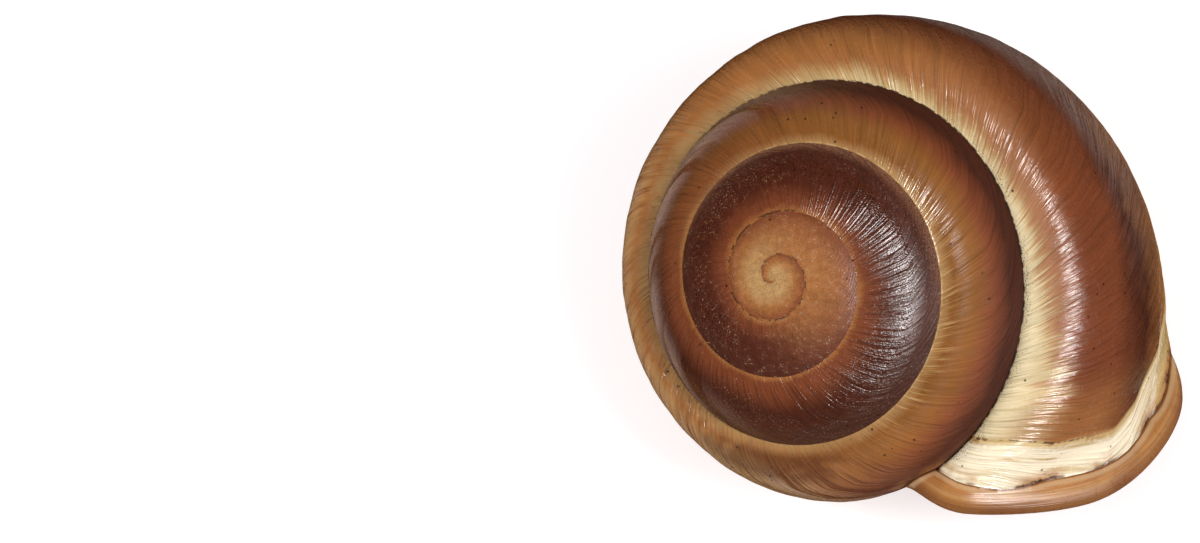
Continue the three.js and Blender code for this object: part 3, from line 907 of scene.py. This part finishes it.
class SHELL_OT_grow(bpy.types.Operator):
    """Grows the shell, hollows it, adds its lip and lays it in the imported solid's place"""
    bl_idname = "shell.grow"
    bl_label = "Grow shell"

    def execute(self, context):
        shell = context.scene.snail_shell
        horn = make_finish(SKIN_NAME, ("age", "part"), SKIN_PATTERNS, periostracum, shell)
        glaze = make_finish(LINING_NAME, ("depth", "station"), LINING_PATTERNS, lining, shell)
        porcelain = make_finish(CALLUS_NAME, ("station", "front", "out"), CALLUS_PATTERNS, callus, shell)
        skin = solid("shell_whorls", skin_mesh(shell), horn)
        hollow = solid("shell_hollow", hollow_mesh(shell), glaze)
        lip = solid("shell_lip", lip_mesh(shell), porcelain)
        for tool, operation in ((hollow, "DIFFERENCE"), (lip, "UNION")):
            cut = skin.modifiers.new(tool.name, "BOOLEAN")
            cut.object = tool
            cut.operation = operation
            cut.solver = "MANIFOLD"
            cut.material_mode = "TRANSFER"
        context.view_layer.update()
        grown = skin.evaluated_get(context.evaluated_depsgraph_get())
        mesh = bpy.data.meshes.new_from_object(grown)
        if len(mesh.materials) != 3:
            raise RuntimeError(f"the shell has {len(mesh.materials)} finishes, not three")
        skin.modifiers.clear()
        skin.data = mesh
        for tool in (hollow, lip):
            bpy.data.objects.remove(tool)
        mark_seam(mesh)
        context.scene["shell_shift"] = lay_down(mesh)
        mesh.shade_smooth()
        mesh.set_sharp_from_angle(angle=SHARP_ANGLE)
        skin.name = "shell_grown"
        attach(skin, "root")
        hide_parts("shell")
        return {"FINISHED"}


def lay_floor(scene, stage):
    """A matt white card that glows a little, as on a light table, and stays out of the gloss."""
    floor = bpy.data.meshes.new("floor")
    signs = ((-1, -1), (1, -1), (1, 1), (-1, 1))
    floor.from_pydata([(x * FLOOR_REACH, y * FLOOR_REACH, 0) for x, y in signs], [], [(0, 1, 2, 3)])
    plane = bpy.data.objects.new("floor", floor)
    scene.collection.objects.link(plane)
    plane.visible_glossy = False
    paper = bpy.data.materials.new("matt_white_card")
    paper.use_nodes = True
    card = paper.node_tree.nodes["Principled BSDF"].inputs
    card["Base Color"].default_value = [c * CARD_SHADE for c in stage.floor]
    card["Roughness"].default_value = CARD_ROUGHNESS
    card["Emission Color"].default_value = stage.floor
    card["Emission Strength"].default_value = stage.glow
    floor.materials.append(paper)


def set_camera(scene, stage, turn, aim, shift):
    """A long lens that looks along the photograph's line of sight and keeps its framing."""
    lens = bpy.data.cameras.new("camera")
    lens.lens = stage.lens
    lens.sensor_width = SENSOR_WIDTH
    lens.shift_x = (FRAME_PIXELS[0] / 2 - SHELL_PIXEL[0]) / FRAME_PIXELS[0]
    lens.shift_y = (SHELL_PIXEL[1] - FRAME_PIXELS[1] / 2) / FRAME_PIXELS[0]
    lens.clip_start = NEAREST
    distance = FRAME_PIXELS[0] * MM_PER_PIXEL * MM * stage.lens / SENSOR_WIDTH
    camera = bpy.data.objects.new("camera", lens)
    scene.collection.objects.link(camera)
    stand = turn @ (aim + Vector((0, 0, distance))) + shift
    camera.matrix_world = Matrix.Translation(stand) @ turn.to_4x4()
    scene.camera = camera


def set_lights(scene, stage, turn, centre):
    """An even sky and soft lamps for the colours, and one strip that only the gloss shows."""
    world = bpy.data.worlds.new("even_sky")
    world.use_nodes = True
    sky = world.node_tree.nodes["Background"].inputs
    sky["Color"].default_value = (1, 1, 1, 1)
    sky["Strength"].default_value = stage.sky
    world.cycles_visibility.glossy = False
    scene.world = world
    # Degrees right of the line of sight and above it, width and height in metres, power, and gloss alone.
    for name, right, up, width, height, power, mirrored in (
        ("right_softbox", 39, -4, 0.09, 0.5, stage.key, False),
        ("left_softbox", -46, 6, 0.14, 0.4, stage.key * LEFT_SHARE, False),
        ("front_softbox", 0, 15, 0.5, 0.5, stage.fill, False),
        ("right_strip", 43, -10, 0.2, 0.45, stage.shine, True),
    ):
        lamp = bpy.data.lights.new(name, "AREA")
        lamp.shape = "RECTANGLE"
        lamp.size = width
        lamp.size_y = height
        lamp.energy = power
        obj = bpy.data.objects.new(name, lamp)
        obj.visible_glossy = mirrored
        obj.visible_diffuse = not mirrored
        scene.collection.objects.link(obj)
        a, e = math.radians(right), math.radians(up)
        way = turn @ Vector((math.sin(a) * math.cos(e), math.sin(e), math.cos(a) * math.cos(e)))
        obj.location = centre + way * LAMP_DISTANCE
        obj.rotation_mode = "QUATERNION"
        obj.rotation_quaternion = (-way).to_track_quat("-Z", "Y")


class SHELL_OT_stage(bpy.types.Operator):
    """Sets the floor, the light and the camera round the shell"""
    bl_idname = "shell.stage"
    bl_label = "Set stage"

    def execute(self, context):
        scene = context.scene
        stage = scene.snail_stage
        shift = Vector(scene["shell_shift"])
        turn = Matrix(REST_TURN.tolist())
        aim = Vector((
            (SHELL_PIXEL[0] - APEX_PIXEL[0]) * MM_PER_PIXEL * MM,
            (APEX_PIXEL[1] - SHELL_PIXEL[1]) * MM_PER_PIXEL * MM,
            SHELL_DEPTH * MM,
        ))
        lay_floor(scene, stage)
        set_camera(scene, stage, turn, aim, shift)
        set_lights(scene, stage, turn, turn @ aim + shift)
        scene.view_settings.view_transform = "Standard"
        return {"FINISHED"}


class SHELL_PT_panel(bpy.types.Panel):
    """Lists the shell's sizes, colours and steps"""
    bl_idname = "SHELL_PT_panel"
    bl_label = "Land snail shell"
    bl_space_type = "VIEW_3D"
    bl_region_type = "UI"
    bl_category = "Shell"

    def draw(self, context):
        for settings in (context.scene.snail_shell, context.scene.snail_stage):
            box = self.layout.box()
            for name in settings.__annotations__:
                box.prop(settings, name)
        self.layout.operator(SHELL_OT_grow.bl_idname)
        self.layout.operator(SHELL_OT_stage.bl_idname)


CLASSES = (ShellSettings, StageSettings, SHELL_OT_grow, SHELL_OT_stage, SHELL_PT_panel)


def register():
    for cls in CLASSES:
        bpy.utils.register_class(cls)
    bpy.types.Scene.snail_shell = PointerProperty(type=ShellSettings)
    bpy.types.Scene.snail_stage = PointerProperty(type=StageSettings)


def unregister():
    del bpy.types.Scene.snail_stage
    del bpy.types.Scene.snail_shell
    for cls in reversed(CLASSES):
        bpy.utils.unregister_class(cls)


def main():
    register()
    bpy.ops.shell.grow()
    bpy.ops.shell.stage()


if __name__ == "__main__":
    main()
